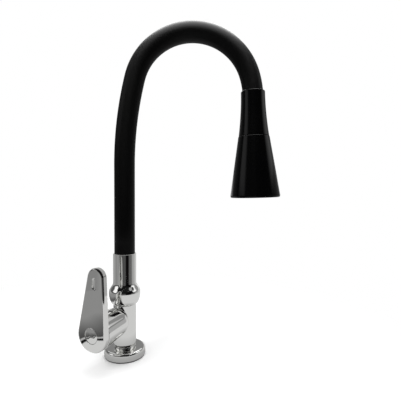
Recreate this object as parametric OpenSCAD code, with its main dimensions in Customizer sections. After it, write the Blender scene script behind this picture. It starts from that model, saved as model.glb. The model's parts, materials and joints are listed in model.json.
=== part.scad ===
// Pre-rinse sink tap: a deck-mounted column with a side lever, a flexible gooseneck hose
// in a silicone sleeve, and a cone-shaped spray head with a stream and a spray.
// Frame: millimetres, +Z up, origin at the centre of the gasket's underside, on the deck.
// The spout reaches along +X. The valve branch points to -Y, turned a little towards -X.

/* [Base] */
// Diameter of the base flange
flange_d = 48; // [46:0.5:52]
// Height of the top of the flange above the deck
flange_top = 11; // [10.5:0.1:11.5]
// Thickness of the rubber gasket under the flange
gasket_h = 1.4; // [1:0.1:2]
// Thickness of the worktop between the gasket and the rubber washer
deck_t = 22; // [12:1:28]
// Across flats of the mounting nut
nut_flats = 30; // [28:1:32]

/* [Column] */
// Diameter of the column
column_d = 26.5; // [26:0.1:27]
// Height of the column's shoulder, where the swivel collar starts
shoulder_z = 62; // [61.8:0.1:63]
// Diameter of the swivel collar's round bulge
bulge_d = 36.6; // [35:0.1:38]
// Height of the widest part of the bulge above the shoulder
bulge_rise = 14.5; // [14:0.5:15.5]
// Height of the top of the chrome sleeve above the shoulder
sleeve_rise = 60; // [56:0.5:64]

/* [Branch and lever] */
// Turn of the branch from -Y towards -X
branch_turn = 27; // [20:1:35]
// Height of the branch's axis
branch_z = 42.5; // [42:0.1:43]
// Rise of the branch's casting towards the column
branch_rise = 4; // [0:0.5:5]
// Diameter of the branch where it has swelled out of the column
branch_d = 33.6; // [33.2:0.2:34]
// Diameter of the bell at the branch's mouth
bell_d = 37.6; // [36.8:0.2:38]
// Distance from the column's axis to the bell's mouth
bell_mouth = 47.5; // [47:0.5:48]
// Distance from the column's axis to the lever's front face
lever_front = 55; // [54.5:0.5:55.5]
// Thickness of the lever
lever_t = 6.6; // [6.2:0.1:6.6]
// Length of the lever from its axis to its tip
lever_len = 73; // [66:1:80]
// Diameter of the lever's hub
hub_d = 38.5; // [37:0.5:40]
// Width of the lever near its tip
tip_d = 22; // [18:0.5:24]
// Lean of the closed lever from upright
lever_lean = 5; // [0:0.5:6]

/* [Hose] */
// Outer diameter of the silicone sleeve
hose_d = 24; // [23.8:0.1:24.1]
// Height at which the hose starts to curve
riser_top = 226; // [215:1:235]
// Radius of the long first curve
neck_r = 430; // [380:5:450]
// Angle of the long first curve
neck_angle = 13.7; // [12:0.1:15]
// Radius of the arch
arch_r = 69.5; // [68:0.5:74]
// Angle of the arch
arch_angle = 149.6; // [148:0.1:151]
// Radius of the last curve, into the spray head
end_r = 100; // [90:1:110]
// Angle of the last curve
end_angle = 14.9; // [13:0.1:16]

/* [Spray head] */
// Diameter of the head's upper rim
rim_d = 28; // [27.6:0.1:28.6]
// Diameter of the upper shell at the seam
seam_d = 35.6; // [35.2:0.1:36.4]
// Length of the upper shell
upper_len = 52; // [51.6:0.1:52.4]
// Length of the turning cone
cone_len = 71.1; // [70:0.1:74]
// Largest diameter of the cone
face_d = 58.2; // [57.6:0.2:59.8]
// Nozzles in the outer ring
outer_nozzles = 24; // [18:1:28]
// Nozzles in the inner ring
inner_nozzles = 16; // [12:1:18]

/* [Hidden] */
$fn = 72;

chrome = "silver";
brass_colour = "darkgoldenrod";
black_rubber = [0.06, 0.06, 0.06];
gloss_black = [0.03, 0.03, 0.035];
steel = [0.6, 0.6, 0.62];
white_plastic = [0.9, 0.9, 0.88];
ceramic = [0.95, 0.94, 0.9];

play = 0.05;        // radial play of a running fit
gap = 0.3;          // clear gap between parts that move apart
hairline = 0.05;    // gap between the two arcs of one length of hose
lap = 0.5;          // overlap of a cut past the face that it opens

// Shank and its threads, drawn as plain cylinders on the major diameters
thread_r = 20.955 / 2;               // G 1/2 tail for the water connector
clamp_r = 11;                        // M22 thread for the nut under the deck
screw_r = 10;                        // M20 thread into the column
clamp_low = -35.5;
clamp_high = 12.5;
shank_bore_r = 6.2;
shank_low = -60;
shank_high = 24;
socket_floor = 25.8;
deck_washer_t = 3;
steel_washer_t = 1.5;
nut_h = 8;

// Foot of the column
foot_z = 15.3;
foot_ring_top = 12.8;
foot_ring_r = 12.4;
foot_neck_r = 11.6;
column_r = column_d / 2;
flange_r = flange_d / 2;
flange_round = 3;

// Swivel
neck_rr = 10.2;                      // the column's neck inside the collar
neck_top = shoulder_z + 16;
swivel_bore_r = 8;
swivel_floor = shoulder_z - 7;
clip_z = shoulder_z - 3.5;           // middle of the retaining ring
web_low = neck_top + 3.3;            // the collar's web, above the nipple's flange
web_high = web_low + 4.7;
sleeve_top = shoulder_z + sleeve_rise;
sleeve_r = 13.4;
hose_r = hose_d / 2;
sleeve_bore_r = hose_r + 0.1;
bulge_z = shoulder_z + bulge_rise;
taper_top = bulge_z + 11.3;

// Hose layers
coil_out = 8.5;
coil_in = 6.4;
tube_out = 6.1;
tube_in = 4.2;
ferrule_low = web_high;
ferrule_floor = ferrule_low + 3;
ferrule_top = ferrule_low + 14;

// Valve, measured along the branch from the column's axis
inlet_r = 4.5;
feed_bore_r = 4;                    // the water's way up from the shank
passage_r = 2.4;                     // the water's way up from the valve to the swivel
passage_from = [0, 6, 10];
passage_len = (swivel_floor + 1 - branch_z - passage_from[1]) * sqrt(2);
bore_floor = 6;
bore_r = 9.3;
bore_end = 26;
cartridge_thread_r = 11.2;
bell_bore_r = 14.3;
bell_bore_floor = 37;
thread_end = bell_bore_floor + play;
seal_t = 3;
disc_r = 7;
disc_t = 2.4;
fixed_disc_l = bore_floor + seal_t + 0.1;
moving_disc_l = fixed_disc_l + disc_t + 0.1;
carrier_l = moving_disc_l + disc_t + 0.05;
spindle_r = 5;
spline_r = 4.6;
spindle_end = 48.6;
nose_r = 7.9;
gland_flats = 22;
gland_end = 42;

// Lever, measured along the branch
lever_back = lever_front - lever_t;
edge_round = 1.6;
back_round = 0.6;
hub_spread = 1.3;                    // flattens the hub's lower edge
boss_r = 12.4;
boss_back = gland_end + 1.2;
cap_r = 8.4;
cap_floor = lever_front - 2.6;
slot_w = 6.4;
slot_len = 13;
slot_at = 56.5;
slot_depth = 1.4;

// Route of the hose in the XZ plane. A heading is the angle from +Z towards +X.
function ahead(p, from, r, turn) =
  p + r * [cos(from) - cos(from + turn), sin(from + turn) - sin(from)];
function centre(p, from, r) = p + r * [cos(from), -sin(from)];
neck_start = [0, riser_top];
neck_centre = centre(neck_start, 0, neck_r);
arch_start = ahead(neck_start, 0, neck_r, neck_angle);
arch_centre = centre(arch_start, neck_angle, arch_r);
arch_stop = neck_angle + arch_angle;
end_start = ahead(arch_start, neck_angle, arch_r, arch_angle);
end_centre = centre(end_start, arch_stop, end_r);
head_heading = arch_stop + end_angle;
head_start = ahead(end_start, arch_stop, end_r, end_angle);
crown = 90;                                       // heading at the upper bending point
function gap_angle(r, wide = gap) = wide / 2 / r * 180 / PI;      // half a gap, as an angle

// Spray head, measured down its axis from the end of the hose
rim_s = -6.7;
seam_s = rim_s + upper_len;
cone_s = seam_s + 0.4;
face_s = cone_s + cone_len;
rim_r = rim_d / 2;
seam_r = seam_d / 2;
face_r = face_d / 2;
cone_top_r = seam_r + 0.4;
edge_r = 2.4;
shell_t = 2.4;
cone_t = 2.2;
nipple_flange = [10.5, 0.2, 5];       // radius, start, end
nipple_thread_r = 8.5;
nipple_end = 14;
web_end = 17.2;
core_flange_r = 12.8;
core_flange_end = 20.3;
core_r = 11;
cone_web = [cone_s + 1.1, cone_s + 5.7];      // the web that turns on the core
core_oring_s = cone_s + 3.4;
core_clip_s = cone_web[1] + 1;
core_end = core_clip_s + 6.4;
core_wall = core_end - 4;
core_bore_r = 6;
cup_r = 13.6;
cup_wall = 1.8;
cup_floor = [core_end + 3, core_end + 5];
jet_r = 6;
jet_wall = 2;
jet_end = face_s - 12.1;
aerator = [face_s - 17, face_s - 2.4];        // start and end of the aerator's housing
aerator_r = 9.6;
aerator_bore_r = 7.2;
plate = [face_s - 6, face_s - 3.4];
plate_r = face_r - edge_r / 2 - 1.4;
nozzle_r = 1.3;
nozzle_hole_r = 0.5;
outer_ring_r = 22;
inner_ring_r = 16;

// ---- shared shapes -------------------------------------------------------------------

module tube(r_out, r_in, z0, z1) {
  translate([0, 0, z0]) difference() {
    cylinder(r = r_out, h = z1 - z0);
    translate([0, 0, -lap]) cylinder(r = r_in, h = z1 - z0 + 2 * lap);
  }
}

module rod(r, z0, z1) translate([0, 0, z0]) cylinder(r = r, h = z1 - z0);

module o_ring(r, thick_r, z) {
  translate([0, 0, z]) rotate_extrude() translate([r, 0]) circle(r = thick_r, $fn = 32);
}

module hexagon(flats, z0, z1) {
  translate([0, 0, z0]) cylinder(d = flats / cos(30), h = z1 - z0, $fn = 6);
}

module annulus(r_out, r_in) {
  difference() {
    circle(r = r_out);
    circle(r = r_in);
  }
}

// Local +Z runs out along the branch, local +Y is up.
module on_branch() {
  translate([0, 0, branch_z]) rotate([0, 0, -branch_turn]) rotate([90, 0, 0]) children();
}

// Local +Z runs down the head's axis, from the end of the hose.
module on_head() {
  translate([head_start[0], 0, head_start[1]]) rotate([0, head_heading, 0]) children();
}

// A section swept round a centre in the XZ plane between two headings.
module bend(middle, r, from, to) {
  translate([middle[0], 0, middle[1]]) rotate([90, 0, 0]) rotate([0, 0, 180 - to])
    rotate_extrude(angle = to - from) translate([r, 0]) children();
}

// ---- base ----------------------------------------------------------------------------

module base_gasket() {
  color(black_rubber) tube(flange_r - 0.6, clamp_r + 0.3, 0, gasket_h);
}

module base_flange() {
  arc = [for (a = [0 : 15 : 90])
    [flange_r - flange_round + flange_round * cos(a),
     flange_top - 0.6 - flange_round + flange_round * sin(a)]];
  color(chrome) rotate_extrude() polygon(concat(
    [[clamp_r + 0.3, gasket_h], [flange_r, gasket_h]],
    arc,
    [[foot_ring_r + 1.2, flange_top], [foot_ring_r, flange_top],
     [foot_ring_r, foot_ring_top - 0.4], [foot_ring_r - 0.4, foot_ring_top],
     [clamp_r + 0.3, foot_ring_top]]));
}

module inlet_shank() {
  color(brass_colour) difference() {
    union() {
      rod(thread_r, shank_low, clamp_low);
      rod(clamp_r, clamp_low, clamp_high);
      rod(screw_r, clamp_high, shank_high);
    }
    rod(shank_bore_r, shank_low - lap, shank_high + lap);
  }
}

module shank_seal() {
  color(black_rubber) tube(screw_r - 0.1, shank_bore_r + 0.4, shank_high, socket_floor);
}

module deck_washer() {
  color(black_rubber) tube(17, clamp_r + 0.4, -deck_t - deck_washer_t, -deck_t);
}

module steel_washer() {
  top = -deck_t - deck_washer_t;
  color(steel) tube(16.5, clamp_r + 0.4, top - steel_washer_t, top);
}

module mounting_nut() {
  top = -deck_t - deck_washer_t - steel_washer_t;
  color(brass_colour) difference() {
    union() {
      hexagon(nut_flats, top - nut_h, top - 2);
      rod(nut_flats / 2 + 1, top - 2, top);
    }
    rod(clamp_r + 0.02, top - nut_h - lap, top + lap);
  }
}

// ---- column and branch ---------------------------------------------------------------

// The branch's casting swells out of the column in a quarter ellipse, and widens a little
// to its bell mouth, which is cut square to the valve.
bell_start = 3;
bell_swelled = 20;
bell_end = bell_mouth + 2;
function bell_at(l) =
  l > bell_swelled
    ? branch_d / 2 + (bell_d - branch_d) / 2 * (l - bell_swelled) / (bell_mouth - bell_swelled)
    : branch_d / 2 * sqrt(1 - pow((bell_swelled - l) / (bell_swelled - bell_start), 2));

module bell() {
  steps = 12;
  curve = [for (i = [0 : steps])
    let (l = bell_start + (bell_swelled - bell_start) * (1 - cos(90 * i / steps)))
    [bell_at(l), l]];
  intersection() {
    translate([0, 0, bell_mouth]) rotate([branch_rise, 0, 0]) translate([0, 0, -bell_mouth])
      rotate_extrude() polygon(concat(curve, [[bell_at(bell_end), bell_end], [0, bell_end]]));
    rod(bell_d, 0, bell_mouth);
  }
}

module column() {
  rotate_extrude() polygon([
    [0, foot_ring_top], [foot_neck_r, foot_ring_top], [foot_neck_r, foot_z - 0.6],
    [column_r - 0.8, foot_z - 0.6], [column_r, foot_z + 0.2],
    [column_r, shoulder_z - 0.3], [column_r - 0.3, shoulder_z],
    [neck_rr, shoulder_z], [neck_rr, neck_top], [0, neck_top]]);
}

module waterways() {
  rod(screw_r + 0.02, foot_ring_top - lap, socket_floor);
  rod(feed_bore_r, socket_floor - lap, branch_z);
  on_branch() {
    rod(inlet_r, -inlet_r, bore_floor + lap);
    rod(bore_r, bore_floor, bore_end + lap);
    rod(cartridge_thread_r, bore_end, bell_bore_floor + lap);
    rod(bell_bore_r, bell_bore_floor, bell_mouth + lap);
    translate(passage_from) rotate([-135, 0, 0]) cylinder(r = passage_r, h = passage_len);
  }
  rod(swivel_bore_r, swivel_floor, neck_top + lap);
  rod(swivel_bore_r + 0.6, clip_z - 1.1, clip_z + 1.1);
}

module faucet_body() {
  color(chrome) difference() {
    union() {
      column();
      on_branch() bell();
    }
    waterways();
  }
}

// ---- ceramic valve -------------------------------------------------------------------

module seat_seal() {
  color(black_rubber) on_branch() tube(bore_r - 0.8, inlet_r, bore_floor, bore_floor + seal_t);
}

// Two opposite windows, which the moving disc covers when the lever is upright.
module disc_ports(l0, l1, turn) {
  for (side = [0, 180]) rotate([0, 0, turn + side]) translate([3.9, 0, 0]) rod(2.1, l0, l1);
}

module fixed_disc() {
  l1 = fixed_disc_l + disc_t;
  color(ceramic) on_branch() difference() {
    rod(disc_r, fixed_disc_l, l1);
    disc_ports(fixed_disc_l - lap, l1 + lap, 0);
  }
}

module moving_disc() {
  l1 = moving_disc_l + disc_t;
  color(ceramic) on_branch() difference() {
    rod(disc_r, moving_disc_l, l1);
    disc_ports(moving_disc_l - lap, l1 + lap, 90);
  }
}

module cartridge_body() {
  color(brass_colour) on_branch() difference() {
    union() {
      rod(nose_r + 0.2, fixed_disc_l, bore_end - 1.8);
      rod(nose_r - 0.4, bore_end - 1.8, bore_end);
      rod(cartridge_thread_r - 0.02, bore_end, thread_end);
      hexagon(gland_flats, thread_end, gland_end - 1);
      rod(spindle_r + 2.4, gland_end - 1, gland_end);
    }
    rod(disc_r + 0.3, fixed_disc_l - lap, carrier_l + 2.5);
    rod(spindle_r + play, fixed_disc_l, gland_end + lap);
    // side windows that let the water out into the branch
    for (turn = [45, 135]) rotate([0, 0, turn]) translate([0, 0, carrier_l + 0.4])
      rotate([90, 0, 0]) cylinder(r = 2, h = 4 * disc_r, center = true);
  }
}

module cartridge_oring() {
  color(black_rubber) on_branch() tube(bore_r - 0.1, nose_r - 0.38, bore_end - 1.8, bore_end);
}

module valve_spindle() {
  color(brass_colour) on_branch() difference() {
    union() {
      rod(disc_r - 0.1, carrier_l, carrier_l + 2.2);
      rod(spindle_r, carrier_l + 2.2, boss_back - 0.2);
      rod(spline_r, boss_back - 0.2, spindle_end);
    }
    rod(2.5, 38, spindle_end + lap);
    disc_ports(carrier_l - lap, carrier_l + 2.2 + lap, 90);
  }
}

// ---- lever ---------------------------------------------------------------------------

// Distance from the hub's axis to the centre of the round tip.
tip_r = tip_d / 2;
hub_r = hub_d / 2;
tip_at = lever_len - tip_r;

module on_lever() on_branch() rotate([0, 0, -lever_lean]) children();

// One level of the lever's outline, drawn in by an inset.
module level(inset, l0, l1) {
  for (side = [-1, 1]) translate([side * hub_spread, 0, 0])
    rod(hub_r - hub_spread - inset, l0, l1, $fn = 64);
  translate([0, tip_at, 0]) rod(tip_r - inset, l0, l1, $fn = 64);
}

module paddle() {
  hull() {
    level(back_round, lever_back, lever_front - edge_round);
    level(0, lever_back + back_round, lever_front - edge_round);
    level(edge_round / 2, lever_front - edge_round, lever_front - edge_round / 4);
    level(edge_round, lever_front - edge_round, lever_front);
  }
}

module index_slot() {
  for (end = [-1, 1])
    translate([0, slot_at + end * (slot_len - slot_w) / 2, 0])
      rod(slot_w / 2, lever_front - slot_depth, lever_front + lap);
  translate([-slot_w / 2, slot_at - (slot_len - slot_w) / 2, lever_front - slot_depth])
    cube([slot_w, slot_len - slot_w, slot_depth + lap]);
}

module lever_handle() {
  color(chrome) on_lever() difference() {
    union() {
      paddle();
      rod(boss_r, boss_back, lever_back + 1);
    }
    rod(spline_r + 0.02, boss_back - lap, spindle_end + 0.1);
    rod(2.7, spindle_end, cap_floor);
    rod(4.6, spindle_end + 0.4, cap_floor + lap);
    rod(cap_r + 0.05, cap_floor, lever_front + lap);
    index_slot();
  }
}

module lever_screw() {
  color(steel) on_lever() difference() {
    union() {
      rod(2.48, 39, spindle_end + 0.5);
      rod(4.3, spindle_end + 0.5, cap_floor - 0.1);
    }
    hexagon(3, cap_floor - 1.8, cap_floor + lap);
  }
}

module lever_cap() {
  color(chrome) on_lever() rotate_extrude() polygon([
    [0, cap_floor], [cap_r, cap_floor], [cap_r, lever_front - 0.4],
    [cap_r - 0.4, lever_front], [cap_r - 1.4, lever_front + 0.3], [0, lever_front + 0.5]]);
}

// ---- swivel --------------------------------------------------------------------------

module retaining_ring() {
  color(white_plastic) tube(swivel_bore_r + 0.5, swivel_bore_r - 0.7, clip_z - 0.9, clip_z + 0.9);
}

module swivel_nipple() {
  r = swivel_bore_r - play;
  low = swivel_floor + 0.4;
  color(brass_colour) difference() {
    union() {
      rod(r, low, neck_top + gap);
      rod(neck_rr, neck_top + gap, web_low);
      rod(7.5, web_low, web_high);
    }
    rod(4.8, low - lap, web_high + lap);
    tube(r + lap, r - 1.3, clip_z - 1.3, clip_z + 1.3);
    for (z = [shoulder_z + 3, shoulder_z + 8]) tube(r + lap, r - 1.8, z - 1.1, z + 1.1);
  }
}

module swivel_orings() {
  r = swivel_bore_r - play;
  color(black_rubber) for (z = [shoulder_z + 3, shoulder_z + 8]) o_ring(r - 0.9, 0.9, z);
}

module swivel_collar() {
  steps = 10;
  r0 = column_r + 0.05;
  swell = bulge_d / 2 - r0;
  lower = [for (i = [1 : steps]) let (a = 90 * i / steps)
    [r0 + swell * sin(a), bulge_z - (bulge_rise - gap) * cos(a)]];
  upper = [for (i = [1 : steps]) let (t = i / steps)
    [sleeve_r + (bulge_d / 2 - sleeve_r) * (1 + cos(180 * t)) / 2,
     bulge_z + (taper_top - bulge_z) * t]];
  color(chrome) difference() {
    rotate_extrude() polygon(concat(
      [[0, shoulder_z + gap], [r0, shoulder_z + gap]], lower, upper,
      [[sleeve_r, sleeve_top - 0.5], [sleeve_r - 0.5, sleeve_top], [0, sleeve_top]]));
    rod(neck_rr + 2 * gap, shoulder_z, web_low);
    rod(7.52, web_low - lap, web_high + lap);
    rod(sleeve_bore_r, web_high, sleeve_top + lap);
  }
}

module hose_ferrule() {
  color(brass_colour) difference() {
    rod(hose_r - 0.2, ferrule_low, ferrule_top);
    rod(4.8, ferrule_low - lap, ferrule_top);
    rod(coil_out + 0.05, ferrule_floor, ferrule_top + lap);
  }
}

// ---- gooseneck hose, in three lengths ------------------------------------------------

module riser_length(r_out, r_in, low) tube(r_out, r_in, low, riser_top - gap / 2);

module arch_length(r_out, r_in) {
  bend(neck_centre, neck_r, gap_angle(neck_r), neck_angle - gap_angle(neck_r, hairline))
    annulus(r_out, r_in);
  bend(arch_centre, arch_r, neck_angle + gap_angle(arch_r, hairline), crown - gap_angle(arch_r))
    annulus(r_out, r_in);
}

module front_length(r_out, r_in) {
  bend(arch_centre, arch_r, crown + gap_angle(arch_r), arch_stop - gap_angle(arch_r, hairline))
    annulus(r_out, r_in);
  bend(end_centre, end_r, arch_stop + gap_angle(end_r, hairline), head_heading)
    annulus(r_out, r_in);
}

module riser_sleeve() color(black_rubber) riser_length(hose_r, coil_out + 0.1, ferrule_top);
module riser_gooseneck() color(steel) riser_length(coil_out, coil_in, ferrule_floor);
module riser_tube() color(white_plastic) riser_length(tube_out, tube_in, ferrule_floor);
module arch_sleeve() color(black_rubber) arch_length(hose_r, coil_out + 0.1);
module arch_gooseneck() color(steel) arch_length(coil_out, coil_in);
module arch_tube() color(white_plastic) arch_length(tube_out, tube_in);
module front_sleeve() color(black_rubber) front_length(hose_r, coil_out + 0.1);
module front_gooseneck() color(steel) front_length(coil_out, coil_in);
module front_tube() color(white_plastic) front_length(tube_out, tube_in);

// ---- spray head: fixed half ----------------------------------------------------------

function upper_r(s) = rim_r + (seam_r - rim_r) * pow((s - rim_s) / upper_len, 1.9);

module hose_nipple() {
  color(brass_colour) on_head() difference() {
    union() {
      rod(nipple_flange[0], nipple_flange[1], nipple_flange[2]);
      rod(nipple_thread_r, nipple_flange[2], nipple_end);
    }
    rod(4.2, 0, nipple_end + lap);
  }
}

module head_collar() {
  steps = 14;
  outer = [for (i = [0 : steps]) let (s = rim_s + upper_len * i / steps) [upper_r(s), s]];
  inner = [for (i = [steps : -2 : 8])
    let (s = rim_s + upper_len * i / steps) [upper_r(s) - shell_t, s]];
  color(gloss_black) on_head() rotate_extrude() polygon(concat(
    [[hose_r + 0.3, rim_s], [rim_r - 0.6, rim_s], [upper_r(rim_s + 0.6), rim_s + 0.6]],
    [for (p = outer) if (p[1] > rim_s + 1) p],
    inner,
    [[core_flange_r + 0.02, web_end], [nipple_thread_r + 0.05, web_end],
     [nipple_thread_r + 0.05, nipple_flange[2] + 0.1],
     [nipple_flange[0] + 0.3, nipple_flange[2] + 0.1],
     [nipple_flange[0] + 0.3, 0], [hose_r + 0.3, 0]]));
}

module hose_washer() color(black_rubber) on_head() tube(nipple_thread_r, 4.6, 14.1, 16.1);

module filter_screen() {
  color(steel) on_head() difference() {
    rod(nipple_thread_r, 16.2, web_end);
    for (ring = [[6, 2.6], [12, 5.4]]) for (i = [1 : ring[0]])
      rotate([0, 0, 360 * i / ring[0]]) translate([ring[1], 0, 0]) rod(0.9, 16, web_end + lap);
  }
}

module head_core() {
  color(white_plastic) on_head() difference() {
    union() {
      rod(core_flange_r, web_end + 0.1, core_flange_end);
      rod(core_r, core_flange_end, core_end);
    }
    rod(core_bore_r, web_end, core_wall);
    translate([core_r / 2, 0, 0]) rod(2.2, core_wall - lap, core_end + lap);
    tube(core_r + lap, core_r - 1.7, core_oring_s - 1.1, core_oring_s + 1.1);
    tube(core_r + lap, core_r - 1, core_clip_s - 0.8, core_clip_s + 0.8);
  }
}

module core_oring() color(black_rubber) on_head() o_ring(core_r - 0.85, 0.85, core_oring_s);

module core_clip() {
  color(steel) on_head() difference() {
    tube(core_r + 2, core_r - 0.9, core_clip_s - 0.6, core_clip_s + 0.6);
    translate([0, -2, core_clip_s - 2]) cube([core_r + 4, 4, 4]);
  }
}

// ---- spray head: turning half --------------------------------------------------------

cone_edge_s = face_s - edge_r;
function cone_at(s) =
  cone_top_r + (face_r - cone_top_r) * (s - cone_s) / (cone_edge_s - cone_s);

module cone_shell() {
  edge = [for (a = [0 : 18 : 90])
    [face_r - edge_r / 2 + edge_r / 2 * cos(a), cone_edge_s + edge_r * sin(a)]];
  color(gloss_black) on_head() rotate_extrude() polygon(concat(
    [[cup_r + 1.8, cone_s], [cone_top_r - 0.3, cone_s], [cone_at(cone_s + 0.3), cone_s + 0.3]],
    edge,
    [[plate_r + 0.02, face_s], [plate_r + 0.02, plate[0]],
     [cone_at(plate[0]) - cone_t - 0.6, plate[0]],
     [cone_at(cone_web[1]) - cone_t, cone_web[1]],
     [core_r + play, cone_web[1]], [core_r + play, cone_web[0]],
     [cup_r + 1.8, cone_web[0]]]));
}

module jet_tube() {
  color(white_plastic) on_head() difference() {
    union() {
      tube(cup_r + cup_wall, cup_r, cone_web[1], cup_floor[0]);
      rod(cup_r + cup_wall, cup_floor[0], cup_floor[1]);
      rod(jet_r + jet_wall, cup_floor[1], jet_end);
    }
    rod(jet_r, cup_floor[1], jet_end + lap);
    rod(3.4, cup_floor[0] - lap, cup_floor[1] + lap);
    for (i = [1 : 6]) rotate([0, 0, 60 * i]) translate([11, 0, 0])
      rod(1.6, cup_floor[0] - lap, cup_floor[1] + lap);
  }
}

module diverter_disc() {
  color(black_rubber) on_head() difference() {
    rod(cup_r - 0.2, core_end + gap, cup_floor[0]);
    translate([core_r / 2, 0, 0]) rod(2.3, core_end, cup_floor[0] + lap);
    rotate([0, 0, 90]) translate([core_r / 2, 0, 0]) rod(2.3, core_end, cup_floor[0] + lap);
  }
}

// Holes or nozzles on the two rings of the face.
module on_rings() {
  for (ring = [[outer_nozzles, outer_ring_r], [inner_nozzles, inner_ring_r]])
    for (i = [1 : ring[0]])
      rotate([0, 0, 360 * i / ring[0]]) translate([ring[1], 0, 0]) children();
}

module spray_plate() {
  color(gloss_black) on_head() difference() {
    rod(plate_r, plate[0], plate[1]);
    rod(aerator_r + 0.1, plate[0] - lap, plate[1] + lap);
    on_rings() rod(nozzle_r, plate[0] - lap, plate[1] + lap);
  }
}

module spray_nozzles() {
  color(black_rubber) on_head() on_rings() difference() {
    rod(nozzle_r, plate[0], plate[1] + 1.4);
    rod(nozzle_hole_r, plate[0] - lap, plate[1] + 2);
  }
}

module aerator_housing() {
  color(steel) on_head() difference() {
    rod(aerator_r, aerator[0], aerator[1]);
    rod(jet_r + jet_wall + 0.02, aerator[0] - lap, jet_end + 0.1);
    rod(aerator_bore_r, jet_end, aerator[1] + lap);
  }
}

module aerator_mesh() {
  mesh = aerator[1] - 2.1;            // middle of the woven insert
  color(steel) on_head() difference() {
    rod(aerator_bore_r, mesh - 0.5, mesh + 0.5);
    for (ring = [[1, 0], [6, 2.4], [12, 4.8]]) for (i = [1 : ring[0]])
      rotate([0, 0, 360 * i / ring[0]]) translate([ring[1], 0, 0]) rod(0.85, mesh - 1, mesh + 1);
  }
}

base_gasket();
base_flange();
faucet_body();
shank_seal();
inlet_shank();
deck_washer();
steel_washer();
mounting_nut();
seat_seal();
fixed_disc();
cartridge_body();
cartridge_oring();
moving_disc();
valve_spindle();
lever_handle();
lever_screw();
lever_cap();
retaining_ring();
swivel_collar();
swivel_nipple();
swivel_orings();
hose_ferrule();
riser_sleeve();
riser_gooseneck();
riser_tube();
arch_sleeve();
arch_gooseneck();
arch_tube();
front_sleeve();
front_gooseneck();
front_tube();
hose_nipple();
head_collar();
hose_washer();
filter_screen();
head_core();
core_oring();
core_clip();
cone_shell();
jet_tube();
diverter_disc();
spray_plate();
spray_nozzles();
aerator_housing();
aerator_mesh();
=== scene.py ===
"""Deck tap with a side lever, a flexible black gooseneck and a cone spray head.

Sizes are in millimetres, as on a workshop drawing. They become metres where a mesh is made.
"""

import json
import math

import bmesh
import bpy
from mathutils import Matrix, Vector


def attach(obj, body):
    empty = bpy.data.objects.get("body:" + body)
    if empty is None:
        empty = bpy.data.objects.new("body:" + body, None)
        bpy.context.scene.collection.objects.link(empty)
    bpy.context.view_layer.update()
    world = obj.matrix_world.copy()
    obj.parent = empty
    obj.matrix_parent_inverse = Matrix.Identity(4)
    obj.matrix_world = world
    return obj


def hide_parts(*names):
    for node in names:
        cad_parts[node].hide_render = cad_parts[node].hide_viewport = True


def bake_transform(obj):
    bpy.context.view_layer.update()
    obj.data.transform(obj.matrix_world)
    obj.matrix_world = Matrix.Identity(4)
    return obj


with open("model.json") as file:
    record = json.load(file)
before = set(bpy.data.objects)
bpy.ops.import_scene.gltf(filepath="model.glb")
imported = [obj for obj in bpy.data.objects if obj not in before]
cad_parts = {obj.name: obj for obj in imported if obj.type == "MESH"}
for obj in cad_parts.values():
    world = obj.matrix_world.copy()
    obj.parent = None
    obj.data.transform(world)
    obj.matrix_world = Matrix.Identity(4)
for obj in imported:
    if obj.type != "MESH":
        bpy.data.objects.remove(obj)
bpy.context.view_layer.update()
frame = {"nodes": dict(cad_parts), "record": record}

MM = 0.001
TURN = 2 * math.pi
AROUND = 96  # segments round the column and the other large turned parts
ARC_STEP = math.radians(14)  # the most that one step of a rounded corner turns
GUARD = 1.2  # a corner has extra points this many times its reach out, which keep flats flat
SHARP = math.radians(38)  # edges that bend more than this stay sharp
FIT = 0.02  # gap between pieces that fit closely
LOOSE_FIT = 0.05

# Camera: focal length, place in metres, and turns in degrees
LENS = 30.99
EYE = (0.0903, -0.4077, 0.1991)
PAN, TILT, ROLL = 0.083, 88.083, 0.31

# Deck and shank
GASKET_TOP = 1.4
FLANGE_R = 24
GASKET_R = FLANGE_R - 0.6
FLANGE_ROUND = 3
FLANGE_EDGE = 10.3  # top of the flange at its rim, which rises a little to the foot ring
FLANGE_TOP = 11
FOOT_RING_R = 12.4
FOOT_RING_TOP = 12.8
CLAMP_R = 11
TAIL_R = 10.4775
TAIL_LOW = -60
CLAMP_LOW = -35.5
CLAMP_HIGH = 12.5
CLAMP_THREAD_HIGH = CLAMP_HIGH - 8
SCREW_R = 10
SHANK_BORE_R = 6.2
SHANK_TOP = 24
TAIL_CUT = (1.1, 1.814)  # depth and pitch of the tail's thread
CLAMP_CUT = (0.9, 1.5)  # depth and pitch of the clamp's thread
DECK_BOTTOM = -22
SEAL_WASHER_R = 17
STEEL_WASHER_R = 16.5
WASHER_LOW = DECK_BOTTOM - 3  # underside of the sealing washer
NUT_TOP = WASHER_LOW - 1.5
NUT_FLATS = 30
NUT_LOW = -34.5
NUT_SHELF = NUT_LOW + 6  # top of the hexagon, under the nut's round washer face

# Column
SCREW_BORE_R = SCREW_R + FIT
SCREW_BORE_TOP = 25.8
FOOT_R = 11.6
STEP_R = 12.5
STEP_Z = 14.7
COLUMN_LOW = 15.5
COLUMN_R = 13.25
WALL_LOW = 26
WALL_HIGH = 61.45
SHOULDER_Z = 62
NECK_R = 10.2
NECK_TOP = 78
SWIVEL_BORE_R = 8
SWIVEL_BORE_FLOOR = 55

# Branch and valve, along the branch from the column's axis
BRANCH_Z = 42.5
BRANCH_TURN = math.radians(27)
BRANCH_FALL = math.radians(4)
BRANCH_R = 16.8
BELL_R = 18.8
BELL_START = 3
BELL_SWELLED = 20
BELL_MOUTH = 47.5
BELL_BORE_R = 14.3
BELL_BORE_FLOOR = 37
SEAT_R = 11.2
SEAT_FLOOR = 26
DUCT_R = 9.3
DUCT_END = 6
CROTCH = 0.6  # fillet between the branch and the column

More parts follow.
